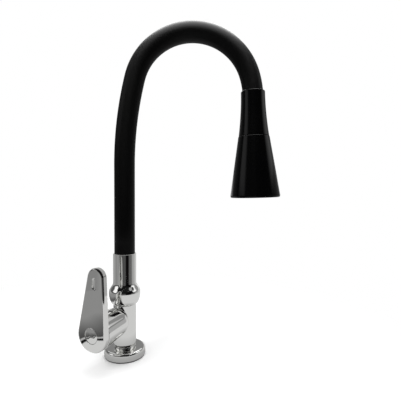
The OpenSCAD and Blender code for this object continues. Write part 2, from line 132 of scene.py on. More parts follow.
# Lever
LEVER_LEAN = math.radians(5)
LEVER_FRONT = 55
LEVER_BACK = 48.4
HUB_R = 19.25
HUB_SPREAD = 1.3  # flattens the hub's lower edge
TIP_R = 11
TIP_AT = 62
EDGE_ROUND = 1.6
BEVEL_ROUND = 1.4
BACK_ROUND = 0.6
BOSS_R = 12.4
BOSS_BACK = 43.2
CAP_R = 8.4
CAP_FLOOR = 52.4
CAP_TOP = LEVER_FRONT + 0.5
DOME_R = 7.6
DOME_HIGH = 0.62
SCREW_HEAD_R = 4.6
SCREW_SEAT = 49
SCREW_HOLE_R = 2.7
SPINDLE_HOLE_R = 4.62
SPINDLE_END = SCREW_SEAT - 0.3
SLOT_R = 3.2
SLOT_HALF = 3.3
SLOT_AT = 56.5
SLOT_FLOOR = 53.6

# Swivel collar
COLLAR_LOW = 62.3
BULGE_R = 18.3
BULGE_Z = 76.5
TAPER_TOP = 87.8
CUP_R = 13.4
CUP_LOW = 100
CUP_TOP = 122
WEB_R = 7.52
WEB_LOW = 81.3
WEB_HIGH = 86

# Hose
SLEEVE_R = 12
SLEEVE_BORE_R = 8.6
GOOSENECK_R = 8.5
GOOSENECK_BORE_R = 6.4
WINDING = 3.6  # pitch of the steel strip
WINDING_CUT = 0.45
TUBE_R = 6.1
TUBE_BORE_R = 4.2
RISER_TOP = 226
# Radius and angle of each arc past the riser
NECK = (430, math.radians(13.7))
ARCH = (69.5, math.radians(149.6))
TAIL = (100, math.radians(14.9))
HOSE_LENGTH = sum(r * angle for r, angle in (NECK, ARCH, TAIL))  # past its riser
SLEEVE_LOW = 100
COIL_LOW = 89
CUT_AT = 75  # where the two lengths meet, along the hose from the end of its riser
# The two stretches that bend, in metres in the shared frame
RISER_BEND = ((0, 0, 0.176), (0, 0, 0.276))
ARCH_BEND = ((0.035, 0, 0.38), (0.125, 0, 0.38))

# Spray head, down its axis from the end of the hose
RIM_R = 14
RIM_S = -6.7
RIM_BORE_R = 12.3
SEAM_R = 17.8
SEAM_S = 45.3
SHELL_T = 2.4
SHELL_FLOOR = 17.2
SHELL_FLOOR_R = 12.82
CORE_BORE_R = 8.55
CORE_BORE_S = 5.1
THREAD_BORE_R = 10.8
CONE_S = SEAM_S + 0.4
CONE_TOP_R = 18.2
CONE_FLOOR = 51.4
CONE_T = 2.2  # wall at the cone's floor, and at its plate
CONE_T_FACE = 2.8
CONE_BORE_R = 11.05
CLIP_BORE_R = 15.4
CLIP_BORE_S = 46.8
FACE_R = 29.08
FACE_S = 116.8
FACE_ROUND = 1.2
EDGE_S = FACE_S - 2 * FACE_ROUND
PLATE_R = 26.5
PLATE_BACK = 110.8
PLATE_FRONT = 113.4
AERATOR_R = 9.6
AERATOR_S = 99.8
AERATOR_BORE_R = 7.2
AERATOR_SEAT_R = 8.02
AERATOR_SEAT_S = 104.7
NOZZLE_R = 1.3
NOZZLE_TIP_R = 1.05
NOZZLE_BORE_R = 0.5
NOZZLE_S = 114.8
NOZZLE_RINGS = ((24, 22), (16, 16))  # number of nozzles and radius of the ring

# Deck, in metres. Its colours are levels from 0 to 1. A row has two levels and the two places
# between which one turns into the other: distances from the column, or places along X.
FADE = (1.0, 0.0, 0.15, 0.4)  # from the lit deck to plain white, as the eye sees it
BOARD = (0.38, 0.68, 0.026, 0.075)  # the pale board round the tap, as metal sees it, with a painted shadow of the tap that darkens it close to the column
GROUND = (0.29, 0.07, -0.2, -0.12)  # the darker ground to the left of the board
BOARD_EDGE = (0.0, 1.0, -0.108, -0.104)
GAP_START = (1.0, 0.0, -0.117, -0.116)  # a black gap along the board's edge
GAP_STOP = (0.0, 1.0, -0.106, -0.104)
STRIP_START = (0.0, 0.5, -0.12, -0.117)  # a bright strip at the gap's far side
STRIP_STOP = (1.0, 0.0, -0.114, -0.112)
EDGE_WAVE = 0.006  # the edge swings this far to both sides
EDGE_WAVES = 150.0  # radians of swing per metre along Y
LIT_GREY = 0.97
DULL_GREY = 0.75

# Studio, in metres
FLOOR_SIZE = 4
LAMP_AIM = Vector((0.05, 0, 0.15))
SKY_LEVEL = 0.75
LOW_WALL = 0.36  # distances of the standing cards from the column
FLAG = 0.37
RIGHT_WALL = 0.345
ROOM = 1.25
SOFTBOX = 1.2
WALL_STEP = 6  # degrees between two edges of a standing card
ROOF = 1.3  # heights of the level cards over the deck
HOOD = 0.135
ROOF_X = (-0.5, 0.65)
HOOD_X = (-0.06, 0.07)


# ---- camera --------------------------------------------------------------------------------


def new_object(name, data):
    made = bpy.data.objects.new(name, data)
    bpy.context.scene.collection.objects.link(made)
    return made


def set_camera():
    lens = bpy.data.cameras.new("camera")
    lens.lens = LENS
    lens.clip_start = 0.01
    eye = new_object("camera", lens)
    eye.matrix_world = (
        Matrix.Translation(EYE)
        @ Matrix.Rotation(math.radians(PAN), 4, "Z")
        @ Matrix.Rotation(math.radians(TILT), 4, "X")
        @ Matrix.Rotation(math.radians(ROLL), 4, "Z")
    )
    bpy.context.scene.camera = eye
    bpy.context.scene.view_settings.view_transform = "Standard"


# ---- materials -----------------------------------------------------------------------------


def add(tree, kind, inputs=None, **settings):
    """Adds a node. An input that is given a socket is linked, and any other is set."""
    made = tree.nodes.new("ShaderNode" + kind)
    for key, value in settings.items():
        setattr(made, key, value)
    for key, value in (inputs or {}).items():
        if isinstance(value, bpy.types.NodeSocket):
            tree.links.new(value, made.inputs[key])
        else:
            made.inputs[key].default_value = value
    return made


def start_group(name, inputs, outputs):
    """Makes a node group. Inputs map a name to its starting value, outputs a name to its type."""
    tree = bpy.data.node_groups.new(name, "ShaderNodeTree")
    for label, value in inputs.items():
        kind = "NodeSocketColor" if isinstance(value, tuple) else "NodeSocketFloat"
        tree.interface.new_socket(label, in_out="INPUT", socket_type=kind).default_value = value
    for label, kind in outputs.items():
        tree.interface.new_socket(label, in_out="OUTPUT", socket_type="NodeSocket" + kind)
    return tree, tree.nodes.new("NodeGroupInput").outputs, tree.nodes.new("NodeGroupOutput").inputs


def scaled(tree, value, low, high, start=0.0, stop=1.0, **settings):
    """Maps start..stop to low..high. Any of them may be a socket."""
    return add(tree, "MapRange", {"Value": value, "From Min": start, "From Max": stop,
                                  "To Min": low, "To Max": high}, **settings).outputs[0]


def worked(tree, operation, *values):
    """The result of one sum. Its values may be sockets."""
    return add(tree, "Math", dict(enumerate(values)), operation=operation).outputs[0]


def mixed(tree, share, one, other):
    """Mixes two colours. A mix node's colour sockets are its seventh, its eighth and its third."""
    return add(tree, "Mix", {0: share, 6: one, 7: other}, data_type="RGBA").outputs[2]


def polish_marks():
    """Faint wipe marks and hairline scratches in a polished surface."""
    tree, given, made = start_group(
        "polish_marks",
        {"Smear scale": 30.0, "Scratch scale": 900.0, "Smooth": 0.04, "Rough": 0.1},
        {"Roughness": "Float", "Height": "Float"},
    )
    place = add(tree, "TexCoord").outputs["Object"]
    smear = add(tree, "TexNoise", {"Vector": place, "Scale": given["Smear scale"], "Detail": 5.0})
    stretch = add(tree, "Mapping", {"Vector": place, "Scale": (1.0, 1.0, 0.06),
                                    "Rotation": (0.35, 0.2, 0.0)})
    hair = add(tree, "TexNoise", {"Vector": stretch.outputs[0], "Scale": given["Scratch scale"],
                                  "Detail": 2.0})
    line = scaled(tree, hair.outputs[0], 0.0, 1.0, 0.62, 0.75)
    both = worked(tree, "MAXIMUM", smear.outputs[0], line)
    rough = scaled(tree, both, given["Smooth"], given["Rough"])
    tree.links.new(rough, made["Roughness"])
    tree.links.new(line, made["Height"])
    return tree


def moulded_grain():
    """The even grain of a moulded surface, with patches that are a little duller."""
    tree, given, made = start_group(
        "moulded_grain",
        {"Grain scale": 1500.0, "Patch scale": 18.0, "Tone": (0.01, 0.01, 0.01, 1.0),
         "Dull tone": (0.02, 0.02, 0.02, 1.0), "Smooth": 0.4, "Rough": 0.5},
        {"Color": "Color", "Roughness": "Float", "Height": "Float"},
    )
    place = add(tree, "TexCoord").outputs["Object"]
    grain = add(tree, "TexVoronoi", {"Vector": place, "Scale": given["Grain scale"]})
    patch = add(tree, "TexNoise", {"Vector": place, "Scale": given["Patch scale"], "Detail": 6.0})
    tone = mixed(tree, patch.outputs[0], given["Tone"], given["Dull tone"])
    rough = scaled(tree, patch.outputs[0], given["Smooth"], given["Rough"])
    tree.links.new(tone, made["Color"])
    tree.links.new(rough, made["Roughness"])
    tree.links.new(grain.outputs["Distance"], made["Height"])
    return tree


def tool_lines():
    """Fine lines that a cutting tool leaves round a turned part, with a slow tarnish."""
    tree, given, made = start_group(
        "tool_lines",
        {"Pitch scale": 2500.0, "Tarnish scale": 60.0, "Bright": (0.7, 0.7, 0.7, 1.0),
         "Tarnished": (0.5, 0.5, 0.5, 1.0), "Smooth": 0.2, "Rough": 0.35},
        {"Color": "Color", "Roughness": "Float", "Height": "Float"},
    )
    place = add(tree, "TexCoord").outputs["Object"]
    lines = add(tree, "Mapping", {"Vector": place, "Scale": (0.02, 0.02, 1.0)})
    cut = add(tree, "TexNoise", {"Vector": lines.outputs[0], "Scale": given["Pitch scale"],
                                 "Detail": 3.0})
    stain = add(tree, "TexNoise", {"Vector": place, "Scale": given["Tarnish scale"],
                                   "Detail": 5.0})
    tone = mixed(tree, stain.outputs[0], given["Bright"], given["Tarnished"])
    rough = scaled(tree, cut.outputs[0], given["Smooth"], given["Rough"])
    tree.links.new(tone, made["Color"])
    tree.links.new(rough, made["Roughness"])
    tree.links.new(cut.outputs[0], made["Height"])
    return tree


def new_finish(name, effect, values, depth, **shader_values):
    """Makes a material: its effect group drives tone, roughness and bump of one shader."""
    made = bpy.data.materials.new(name)
    made.use_nodes = True
    tree = made.node_tree
    shader = tree.nodes["Principled BSDF"]
    for key, value in shader_values.items():
        shader.inputs[key.replace("_", " ")].default_value = value
    marks = add(tree, "Group", node_tree=effect)
    for key, value in values.items():
        marks.inputs[key].default_value = value
    if "Color" in marks.outputs:
        tree.links.new(marks.outputs["Color"], shader.inputs["Base Color"])
    tree.links.new(marks.outputs["Roughness"], shader.inputs["Roughness"])
    bump = add(tree, "Bump", {"Height": marks.outputs["Height"], "Distance": depth * MM,
                              "Strength": 0.6})
    tree.links.new(bump.outputs[0], shader.inputs["Normal"])
    return made


def make_finishes():
    polish, grain, lines = polish_marks(), moulded_grain(), tool_lines()
    return {
        "polished_chrome": new_finish(
            "polished_chrome", polish, {"Smooth": 0.02, "Rough": 0.07}, 0.002,
            Base_Color=(0.845, 0.845, 0.83, 1), Metallic=1.0),
        "black_silicone": new_finish(
            "black_silicone", grain,
            {"Tone": (0.0002, 0.0002, 0.0002, 1), "Dull tone": (0.0005, 0.0005, 0.0005, 1),
             "Smooth": 0.42, "Rough": 0.48}, 0.01,
            IOR=1.41, Specular_IOR_Level=0.2),
        "black_rubber": new_finish(
            "black_rubber", grain,
            {"Tone": (0.014, 0.014, 0.014, 1), "Dull tone": (0.024, 0.024, 0.023, 1),
             "Smooth": 0.6, "Rough": 0.75, "Grain scale": 900.0}, 0.02,
            IOR=1.5),
        "gloss_black": new_finish(
            "gloss_black", grain,
            {"Tone": (0.0005, 0.0005, 0.0006, 1), "Dull tone": (0.001, 0.001, 0.0011, 1),
             "Smooth": 0.14, "Rough": 0.22, "Grain scale": 600.0}, 0.0015,
            IOR=1.46, Specular_IOR_Level=0.2),
        "brass": new_finish(
            "brass", lines,
            {"Bright": (0.78, 0.6, 0.3, 1), "Tarnished": (0.6, 0.43, 0.19, 1),
             "Smooth": 0.18, "Rough": 0.34}, 0.008,
            Metallic=1.0),
        "stainless_steel": new_finish(
            "stainless_steel", lines,
            {"Bright": (0.62, 0.62, 0.63, 1), "Tarnished": (0.54, 0.54, 0.54, 1),
             "Smooth": 0.2, "Rough": 0.38}, 0.006,
            Metallic=1.0),
        "white_plastic": new_finish(
            "white_plastic", grain,
            {"Tone": (0.82, 0.82, 0.79, 1), "Dull tone": (0.76, 0.76, 0.72, 1),
             "Smooth": 0.35, "Rough": 0.48}, 0.008),
        "ceramic": new_finish(
            "ceramic", grain,
            {"Tone": (0.88, 0.87, 0.83, 1), "Dull tone": (0.84, 0.82, 0.77, 1),
             "Smooth": 0.14, "Rough": 0.24, "Grain scale": 2500.0}, 0.002),
    }


# ---- mesh helpers --------------------------------------------------------------------------


def put(bm, points, place):
    """Adds a ring of vertices, with the points in millimetres before they are placed."""
    return [bm.verts.new((place @ Vector(p)) * MM) for p in points]


def join(bm, one, other):
    """Joins two rings by faces. A ring of one vertex is a pole."""
    count = max(len(one), len(other))
    for i in range(count):
        j = (i + 1) % count
        corners = (one[i % len(one)], one[j % len(one)],
                   other[j % len(other)], other[i % len(other)])
        bm.faces.new(list(dict.fromkeys(corners)))


def skin(bm, rings, place=Matrix(), closed=False):
    """Covers a row of rings and returns their vertices."""
    rows = [put(bm, ring, place) for ring in rings]
    for one, other in zip(rows, rows[1:] + rows[:1] if closed else rows[1:]):
        join(bm, one, other)
    return rows


def rounded(profile, closed=False):
    """Rounds a profile's corners. A point is (x, y), or (x, y, radius) at a rounded corner."""
    points = []
    for i, (x, y, *radius) in enumerate(profile):
        here = Vector((x, y))
        if not radius or (not closed and i in (0, len(profile) - 1)):
            points.append(here)
            continue
        back = (Vector(profile[i - 1][:2]) - here).normalized()
        on = (Vector(profile[(i + 1) % len(profile)][:2]) - here).normalized()
        half = math.acos(max(-1, min(1, back.dot(on)))) / 2
        turn = math.pi - 2 * half
        reach = radius[0] / math.tan(half)
        middle = here + (back + on).normalized() * radius[0] / math.sin(half)
        first, last = here + back * reach - middle, here + on * reach - middle
        steps = max(2, math.ceil(turn / ARC_STEP))
        points.append(here + back * reach * GUARD)
        for k in range(steps + 1):
            share = k / steps
            points.append(middle + (first * math.sin((1 - share) * turn)
                                    + last * math.sin(share * turn)) / math.sin(turn))
        points.append(here + on * reach * GUARD)
    return points


def circle(r, z, segments=AROUND):
    """A ring about +Z, or its centre where the radius is nothing."""
    if r < 1e-6:
        return [(0, 0, z)]
    return [(r * math.cos(TURN * i / segments), r * math.sin(TURN * i / segments), z)
            for i in range(segments)]


def finish_piece(name, bm, slot, *replaced):
    """Makes the object that stands for the named nodes, in the slot's finish."""
    bmesh.ops.recalc_face_normals(bm, faces=bm.faces)
    mesh = bpy.data.meshes.new(name)
    bm.to_mesh(mesh)
    bm.free()
    mesh.shade_smooth()
    mesh.set_sharp_from_angle(angle=SHARP)
    mesh.materials.append(finishes[slot])
    made = new_object(name, mesh)
    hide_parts(*replaced)
    return made


def turn_piece(name, body, slot, node, profile, place=Matrix(), closed=True, segments=AROUND):
    """Turns a profile of (radius, height) about its axis."""
    bm = bmesh.new()
    rings = [circle(r, z, segments) for r, z in rounded(profile, closed)]
    skin(bm, rings, place, closed)
    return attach(finish_piece(name, bm, slot, node), body)


# ---- places --------------------------------------------------------------------------------


def hose_at(length):
    """The centre and heading of the hose at a length from the end of its riser."""
    x, z, heading = 0.0, RISER_TOP, 0.0
    if length < 0:
        return Vector((0, 0, RISER_TOP + length)), 0.0
    for r, angle in (NECK, ARCH, TAIL):
        turn = min(angle, max(0.0, length / r))
        x += r * (math.cos(heading) - math.cos(heading + turn))
        z += r * (math.sin(heading + turn) - math.sin(heading))
        heading += turn
        length -= r * angle
    return Vector((x, 0, z)), heading


# Local +Z runs out along the branch and local +Y is up.
on_branch = Matrix.Translation((0, 0, BRANCH_Z)) @ Matrix.Rotation(-BRANCH_TURN, 4, "Z") \
    @ Matrix.Rotation(math.radians(90), 4, "X")
on_lever = on_branch @ Matrix.Rotation(-LEVER_LEAN, 4, "Z")
# Local +Z runs down the head's axis from the end of the hose.
hose_end, head_turn = hose_at(HOSE_LENGTH)
on_head = Matrix.Translation(hose_end) @ Matrix.Rotation(head_turn, 4, "Y")


# ---- base ----------------------------------------------------------------------------------


def make_flange():
    bore = CLAMP_R + 0.3
    turn_piece("flange", "column", "polished_chrome", "base_flange", [
        (bore, GASKET_TOP), (FLANGE_R, GASKET_TOP, 0.3), (FLANGE_R, FLANGE_EDGE, FLANGE_ROUND),
        (FOOT_RING_R + 1.2, FLANGE_TOP, 0.5), (FOOT_RING_R, FLANGE_TOP, 0.2),
        (FOOT_RING_R, FOOT_RING_TOP, 0.4), (bore, FOOT_RING_TOP, 0.2)])


def make_gasket():
    bore = CLAMP_R + 0.3
    turn_piece("gasket", "column", "black_rubber", "base_gasket", [
        (bore, 0), (GASKET_R, 0, 0.4), (GASKET_R, GASKET_TOP, 0.4), (bore, GASKET_TOP)])


def threaded(r, depth, pitch, low, high, segments):
    """Rings of an outside thread that fades in and out at its ends, eight to a turn."""
    rings = []
    steps = round((high - low) / pitch * 8)
    for k in range(steps + 1):
        z = low + (high - low) * k / steps
        fade = min(1, (z - low) / pitch, (high - z) / pitch)
        ring = []
        for i in range(segments):
            wave = abs(2 * ((z / pitch - i / segments) % 1) - 1)
            # flat crests and roots, with straight flanks between them
            cut = depth * fade * max(0, min(1, 1.25 - 1.5 * wave))
            angle = TURN * i / segments
            ring.append(((r - cut) * math.cos(angle), (r - cut) * math.sin(angle), z))
        rings.append(ring)
    return rings


def make_shank():
    segments = 48
    plain = [circle(r, z, segments) for r, z in (
        (CLAMP_R, CLAMP_HIGH), (SCREW_R, CLAMP_HIGH + 0.1), (SCREW_R, SHANK_TOP - 0.6),
        (SCREW_R - 0.6, SHANK_TOP), (SHANK_BORE_R + 0.3, SHANK_TOP),
        (SHANK_BORE_R, SHANK_TOP - 0.3), (SHANK_BORE_R, TAIL_LOW + 0.5),
        (SHANK_BORE_R + 0.5, TAIL_LOW), (TAIL_R - 1.2, TAIL_LOW))]
    bm = bmesh.new()
    skin(bm, threaded(TAIL_R, *TAIL_CUT, TAIL_LOW + 1.1, CLAMP_LOW, segments)
         + threaded(CLAMP_R, *CLAMP_CUT, CLAMP_LOW + 0.4, CLAMP_THREAD_HIGH, segments) + plain,
         closed=True)
    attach(finish_piece("shank", bm, "brass", "inlet_shank"), "column")


def make_washers():
    bore = CLAMP_R + 0.4
    turn_piece("sealing_washer", "column", "black_rubber", "deck_washer", [
        (bore, WASHER_LOW, 0.5), (SEAL_WASHER_R, WASHER_LOW, 0.9),
        (SEAL_WASHER_R, DECK_BOTTOM, 0.9), (bore, DECK_BOTTOM, 0.5)])
    turn_piece("pressed_washer", "column", "stainless_steel", "steel_washer", [
        (bore, NUT_TOP, 0.2), (STEEL_WASHER_R, NUT_TOP, 0.5), (STEEL_WASHER_R, WASHER_LOW, 0.2),
        (bore, WASHER_LOW, 0.4)])


def make_nut():
    """A hexagon with chamfered corners and a round washer face."""
    segments = 72
    flat = NUT_FLATS / 2
    rings = []
    for reach, z in (
            (flat - 0.2, NUT_LOW), (flat + 0.8, NUT_LOW + 0.45), (flat + 2.4, NUT_LOW + 1.3),
            (flat + 2.4, NUT_SHELF - 0.6), (flat + 1.1, NUT_SHELF), (flat + 1, NUT_SHELF + 0.1),
            (flat + 1, NUT_TOP - 0.3), (flat + 0.7, NUT_TOP)):
        ring = []
        for i in range(segments):
            angle = TURN * i / segments
            side = flat / math.cos((angle + math.pi / 6) % (math.pi / 3) - math.pi / 6)
            r = min(side, reach) if z < NUT_SHELF + 0.05 else reach
            ring.append((r * math.cos(angle), r * math.sin(angle), z))
        rings.append(ring)
    bore = CLAMP_R + FIT
    rings += [circle(bore + 0.5, NUT_TOP, segments), circle(bore, NUT_TOP - 0.5, segments),
              circle(bore, NUT_LOW + 0.6, segments), circle(bore + 0.6, NUT_LOW, segments)]
    bm = bmesh.new()
    skin(bm, rings, closed=True)
    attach(finish_piece("clamp_nut", bm, "brass", "mounting_nut"), "column")


# ---- column and branch ---------------------------------------------------------------------


def bell_point(along, angle, swell=0.0):
    """A point on the outside of the branch, whose own axis falls towards its mouth."""
    if along > BELL_SWELLED:
        share = (along - BELL_SWELLED) / (BELL_MOUTH - BELL_SWELLED)
        r = BRANCH_R + (BELL_R - BRANCH_R) * share
    else:
        share = (BELL_SWELLED - along) / (BELL_SWELLED - BELL_START)
        r = BRANCH_R * math.sqrt(max(0, 1 - share ** 2))
    r += swell
    fall = Matrix.Rotation(BRANCH_FALL, 4, "X")
    point = Vector((r * math.cos(angle), r * math.sin(angle), along - BELL_MOUTH))
    return fall @ point + Vector((0, 0, BELL_MOUTH))


def along_to(angle, column_r, swell=0.0):
    """How far along the branch its outside leaves a column of that radius."""
    low, high = BELL_START, BELL_SWELLED
    for _ in range(40):
        middle = (low + high) / 2
        point = bell_point(middle, angle, swell)
        if math.hypot(point.x, point.z) < column_r:
            low = middle
        else:
            high = middle
    return high


def curve_point(a, b, c, share):
    """A point on the quadratic curve from a to c that leaves both towards b."""
    return a.lerp(b, share).lerp(b.lerp(c, share), share)


def branch_rings(angles):
    """The branch from the column's wall to the floor of its valve bore, in its own frame."""
    bends, steps, lip = 5, 18, 0.5  # rings in a rounded corner, rings between them, and the rim
    start = [bell_point(along_to(a, COLUMN_R, CROTCH), a, CROTCH) for a in angles]
    corner = [bell_point(along_to(a, COLUMN_R), a) for a in angles]
    leave = [along_to(a, COLUMN_R + CROTCH) for a in angles]
    clear = [bell_point(along, a) for along, a in zip(leave, angles)]
    rings = [[curve_point(*three, k / bends) for three in zip(start, corner, clear)]
             for k in range(bends)]
    mouth = [BELL_MOUTH - BELL_R * math.sin(a) * math.tan(BRANCH_FALL) for a in angles]
    for k in range(steps + 1):
        share = (k / steps) ** 1.5
        rings.append([bell_point(near + (far - lip - near) * share, a)
                      for near, far, a in zip(leave, mouth, angles)])
    rim = [bell_point(along, a) for along, a in zip(mouth, angles)]
    inner = [Vector((p.x, p.y, 0)) * (1 - lip / BELL_R) + Vector((0, 0, BELL_MOUTH)) for p in rim]
    for k in range(1, bends + 1):
        rings.append([curve_point(*three, k / bends)
                      for three in zip(rings[bends + steps], rim, inner)])
    for r, along in ((BELL_BORE_R + 0.4, BELL_MOUTH), (BELL_BORE_R, BELL_MOUTH - 0.4),
                     (BELL_BORE_R, BELL_BORE_FLOOR), (SEAT_R, BELL_BORE_FLOOR),
                     (SEAT_R, SEAT_FLOOR), (DUCT_R, SEAT_FLOOR), (DUCT_R, DUCT_END)):
        rings.append([Vector((r * math.cos(a), r * math.sin(a), along)) for a in angles])
    return rings + [[Vector((0, 0, DUCT_END))]]


def make_casting():
    """The column and its branch, one casting with a fillet where they meet."""
    bm = bmesh.new()
    # faces up the wall, half the window's width in faces, and bands of faces in the window
    rows, half, bands = 24, 20, 7

    def on_wall(angle, height):
        return (COLUMN_R * math.sin(angle), height - BRANCH_Z, COLUMN_R * math.cos(angle))

    def ring(r, z):
        if r < 1e-6:
            return [(0, z - BRANCH_Z, 0)]
        return [(r * math.sin(TURN * i / AROUND), z - BRANCH_Z, r * math.cos(TURN * i / AROUND))
                for i in range(AROUND)]

    made = {}

    def vertex(i, j):
        key = (i % AROUND, j)
        if key not in made:
            point = on_wall(TURN * i / AROUND, WALL_LOW + (WALL_HIGH - WALL_LOW) * j / rows)
            made[key] = put(bm, [point], on_branch)[0]
        return made[key]

    # the plain wall, all but the window in front of the branch
    for j in range(rows):
        for i in range(half, AROUND - half):
            bm.faces.new([vertex(i, j), vertex(i + 1, j), vertex(i + 1, j + 1), vertex(i, j + 1)])
    edge = ([(i, 0) for i in range(-half, half)] + [(half, j) for j in range(rows)]
            + [(i, rows) for i in range(half, -half, -1)]
            + [(-half, j) for j in range(rows, 0, -1)])
    for end, profile in (
            (0, [(0, SCREW_BORE_TOP), (SCREW_BORE_R, SCREW_BORE_TOP, 0.2),
                 (SCREW_BORE_R, FOOT_RING_TOP, 0.3), (FOOT_R, FOOT_RING_TOP, 0.3),
                 (FOOT_R, STEP_Z, 0.3), (STEP_R, STEP_Z, 0.3), (COLUMN_R, COLUMN_LOW, 0.5),
                 (COLUMN_R, WALL_LOW)]),
            (rows, [(0, SWIVEL_BORE_FLOOR), (SWIVEL_BORE_R, SWIVEL_BORE_FLOOR, 0.2),
                    (SWIVEL_BORE_R, NECK_TOP, 0.3), (NECK_R, NECK_TOP, 0.3),
                    (NECK_R, SHOULDER_Z, 0.2), (COLUMN_R, SHOULDER_Z, 0.3),
                    (COLUMN_R, WALL_HIGH)])):
        inner = skin(bm, [ring(r, z) for r, z in rounded(profile)[:-1]], on_branch)
        join(bm, inner[-1], [vertex(i, end) for i in range(AROUND)])

    # the window, filled by rings that change from its edge to the foot of the branch
    spots = [(TURN * i / AROUND, WALL_LOW + (WALL_HIGH - WALL_LOW) * j / rows) for i, j in edge]
    # height of the branch's axis at the column's wall, from where it falls to its mouth
    middle = BRANCH_Z + BELL_MOUTH * math.sin(BRANCH_FALL) * 0.7
    angles = [math.atan2(z - middle, COLUMN_R * turn) for turn, z in spots]
    branch = branch_rings(angles)
    foot = [(math.atan2(p.x, p.z), p.y + BRANCH_Z) for p in branch[0]]
    rings = []
    for k in range(1, bands):
        share = 1 - (1 - k / bands) ** 1.6
        rings.append([on_wall(a + (c - a) * share, b + (d - b) * share)
                      for (a, b), (c, d) in zip(spots, foot)])
    outside = skin(bm, rings + branch, on_branch)
    join(bm, [vertex(i, j) for i, j in edge], outside[0])
    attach(finish_piece("casting", bm, "polished_chrome", "faucet_body"), "column")


# ---- lever ---------------------------------------------------------------------------------


def paddle_outline(inset):
    """The lever's outline: a flattened hub and a round tip, joined by straight sides."""
    lean = math.asin((HUB_R - TIP_R) / TIP_AT)
    hub_r, tip_r = HUB_R - HUB_SPREAD - inset, TIP_R - inset
    arcs = ((-HUB_SPREAD, 0, hub_r, math.pi - lean, 1.5 * math.pi, 24),
            (HUB_SPREAD, 0, hub_r, 1.5 * math.pi, TURN + lean, 24),
            (0, TIP_AT, tip_r, lean, math.pi - lean, 30))
    points = []
    sides = 11  # edges in a straight side
    for x, y, r, start, stop, steps in arcs:
        arc = [Vector((x + r * math.cos(a), y + r * math.sin(a)))
               for a in (start + (stop - start) * k / steps for k in range(steps + 1))]
        if y:
            points += [points[-1].lerp(arc[0], k / sides) for k in range(1, sides)]
        points += arc
    return points + [points[-1].lerp(points[0], k / sides) for k in range(1, sides)]


def slot_outline(r):
    """An oblong ring about the index recess."""
    points = []
    steps = 16
    for side in (1, -1):
        for k in range(steps + 1):
            angle = (0 if side == 1 else math.pi) + math.pi * k / steps
            points.append(Vector((r * math.cos(angle),
                                  SLOT_AT + side * SLOT_HALF + r * math.sin(angle))))
    return points


def make_lever():
    bm = bmesh.new()
    ways = [p.normalized() for p in paddle_outline(0)]
    sockets = rounded([
        (CAP_R + 0.8, LEVER_FRONT), (CAP_R + LOOSE_FIT, LEVER_FRONT, 0.25),
        (CAP_R + LOOSE_FIT, CAP_FLOOR, 0.2), (SCREW_HEAD_R, CAP_FLOOR),
        (SCREW_HEAD_R, SCREW_SEAT),
        (SCREW_HOLE_R, SCREW_SEAT), (SCREW_HOLE_R, SPINDLE_END), (SPINDLE_HOLE_R, SPINDLE_END),
        (SPINDLE_HOLE_R, BOSS_BACK, 0.4), (BOSS_R, BOSS_BACK, 0.8), (BOSS_R, LEVER_BACK, 0.4),
        (BOSS_R + 1, LEVER_BACK)])
    # inset from the outline and place along the branch, from the back to the bevelled front edge
    edges = rounded([(3.5, LEVER_BACK), (0, LEVER_BACK, BACK_ROUND),
                     (0, LEVER_FRONT - EDGE_ROUND, BEVEL_ROUND),
                     (EDGE_ROUND / 2, LEVER_FRONT - EDGE_ROUND / 4, BEVEL_ROUND),
                     (EDGE_ROUND, LEVER_FRONT, BEVEL_ROUND), (2.4, LEVER_FRONT)])
    rings = [[(way.x * r, way.y * r, along) for way in ways] for r, along in sockets]
    rings += [[(p.x, p.y, along) for p in paddle_outline(inset)] for inset, along in edges]
    rows = skin(bm, rings, on_lever)
    dish = rounded([(SLOT_R + 0.5, LEVER_FRONT), (SLOT_R, LEVER_FRONT, 0.2),
                    (SLOT_R - 0.3, SLOT_FLOOR + 0.1, 0.8), (0.2, SLOT_FLOOR)])
    recess = skin(bm, [[(p.x, p.y, along) for p in slot_outline(r)] for r, along in dish],
                  on_lever)
    bm.faces.new(recess[-1])
    # the flat face, between the edge, the cap's seat and the index recess
    face_edges = []
    for row in (rows[-1], rows[0], recess[0]):
        for one, other in zip(row, row[1:] + row[:1]):
            face_edges.append(bm.edges.get((one, other)))
    bmesh.ops.triangle_fill(bm, edges=face_edges, use_beauty=True,
                            normal=on_lever.to_3x3() @ Vector((0, 0, 1)))
    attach(finish_piece("lever", bm, "polished_chrome", "lever_handle"), "lever")


def make_cap():
    dome = [(DOME_R * math.cos(a), CAP_TOP - DOME_HIGH * math.cos(a) ** 2)
            for a in (math.radians(5 * k) for k in range(1, 18))]
    turn_piece("cap", "lever", "polished_chrome", "lever_cap", [
        (0, CAP_FLOOR), (CAP_R, CAP_FLOOR, 0.2), (CAP_R, LEVER_FRONT - 0.35, 0.5)] + dome
        + [(0, CAP_TOP)], on_lever, closed=False, segments=64)


# ---- swivel collar -------------------------------------------------------------------------


